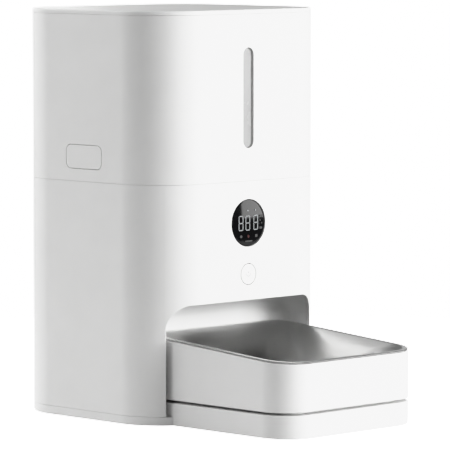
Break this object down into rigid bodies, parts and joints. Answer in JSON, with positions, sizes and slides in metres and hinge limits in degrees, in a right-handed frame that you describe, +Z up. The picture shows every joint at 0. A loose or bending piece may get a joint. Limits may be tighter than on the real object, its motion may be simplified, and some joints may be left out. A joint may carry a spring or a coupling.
{
  "type": "automatic pet feeder",
  "caption": "Automatic dry-food feeder: rounded tower with a lift-off hopper and lid, round display, arched outlet and a pull-out tray with a steel bowl.",
  "frame": {"origin": "middle of the footprint, on the surface the feet stand on", "axes": "+Z up, the bowl and display face -Y, +X to the right seen from the front"},
  "size_m": [0.195, 0.29, 0.3266],
  "materials": {
    "white_shell": "satin moulded white",
    "inner_plastic": "fine texture",
    "clear_plastic": "translucent",
    "display_black": "piano black",
    "foot_rubber": "matt",
    "silicone": "satin silicone",
    "bowl_steel": "satin stainless",
    "machined_steel": "zinc plated",
    "spring_steel": "bright wire",
    "brass": "plain",
    "circuit_board": "solder mask",
    "gear_plastic": "natural acetal"
  },
  "bodies": {
    "root": {"base_plate": "white_shell", "foot_front_left": "foot_rubber", "foot_front_right": "foot_rubber", "foot_rear_left": "foot_rubber", "foot_rear_right": "foot_rubber", "base_screw_front_left": "machined_steel", "base_screw_front_right": "machined_steel", "base_screw_rear_left": "machined_steel", "base_screw_rear_right": "machined_steel", "lower_housing": "white_shell", "outlet_bay": "white_shell", "food_chute": "inner_plastic", "sensor_board_left": "circuit_board", "sensor_board_right": "circuit_board", "top_deck": "inner_plastic", "deck_screw_front_left": "machined_steel", "deck_screw_front_right": "machined_steel", "deck_screw_rear_left": "machined_steel", "deck_screw_rear_right": "machined_steel", "shaft_seal": "foot_rubber", "gear_plate": "inner_plastic", "gearbox": "machined_steel", "motor": "machined_steel", "display_lens": "display_black", "display_module": "display_black", "main_board": "circuit_board", "button_switch": "display_black", "power_inlet": "display_black", "battery_box": "inner_plastic", "battery_contact_front": "brass", "battery_contact_back": "brass", "battery_cover": "white_shell"},
    "front_button": {"front_button": "white_shell"},
    "drive": {"drive_gear": "gear_plastic", "drive_shaft": "machined_steel", "drive_dog": "gear_plastic"},
    "pinion": {"motor_pinion": "brass", "pinion_shaft": "machined_steel"},
    "hopper": {"hopper_shell": "white_shell", "window_lens": "clear_plastic", "food_bucket": "clear_plastic", "outlet_baffle": "inner_plastic", "button_bracket_left": "inner_plastic", "button_bracket_right": "inner_plastic", "button_spring_left": "spring_steel", "button_spring_right": "spring_steel"},
    "rotor": {"impeller": "silicone", "stirrer": "inner_plastic"},
    "side_button_left": {"side_button_left": "white_shell"},
    "side_button_right": {"side_button_right": "white_shell"},
    "lid": {"lid": "white_shell", "lid_gasket": "foot_rubber", "lid_liner": "inner_plastic", "desiccant_box": "clear_plastic", "desiccant_cover": "inner_plastic"},
    "tray": {"tray": "white_shell"},
    "bowl": {"bowl": "bowl_steel"}
  },
  "joints": [
    {"name": "front_button_press", "type": "slide", "parent": "root", "child": "front_button", "axis": [0, 1, 0], "range_m": [0, 0.001], "stiffness_N_per_m": 500},
    {"name": "drive_spin", "type": "hinge", "parent": "root", "child": "drive", "pos_m": [0, 0.058, 0.171], "axis": [0, 0, 1], "continuous": true},
    {"name": "pinion_spin", "type": "hinge", "parent": "root", "child": "pinion", "pos_m": [0.01877, 0.07677, 0.171], "axis": [0, 0, 1], "continuous": true},
    {"name": "hopper_lift", "type": "slide", "parent": "root", "child": "hopper", "axis": [0, 0, 1], "range_m": [0, 0.06]},
    {"name": "rotor_spin", "type": "hinge", "parent": "hopper", "child": "rotor", "pos_m": [0, 0.058, 0.21], "axis": [0, 0, 1], "continuous": true},
    {"name": "side_button_left_press", "type": "slide", "parent": "hopper", "child": "side_button_left", "axis": [1, 0, 0], "range_m": [0, 0.003], "stiffness_N_per_m": 600, "deforming": ["button_spring_left"]},
    {"name": "side_button_right_press", "type": "slide", "parent": "hopper", "child": "side_button_right", "axis": [-1, 0, 0], "range_m": [0, 0.003], "stiffness_N_per_m": 600, "deforming": ["button_spring_right"]},
    {"name": "lid_lift", "type": "slide", "parent": "hopper", "child": "lid", "axis": [0, 0, 1], "range_m": [0, 0.06]},
    {"name": "tray_slide", "type": "slide", "parent": "root", "child": "tray", "axis": [0, -1, 0], "range_m": [0, 0.1]},
    {"name": "bowl_lift", "type": "slide", "parent": "tray", "child": "bowl", "axis": [0, 0, 1], "range_m": [0, 0.012]}
  ],
  "couplings": [
    {"joint": "drive_spin", "follows": "rotor_spin", "ratio": 1},
    {"joint": "pinion_spin", "follows": "rotor_spin", "ratio": -3}
  ]
}
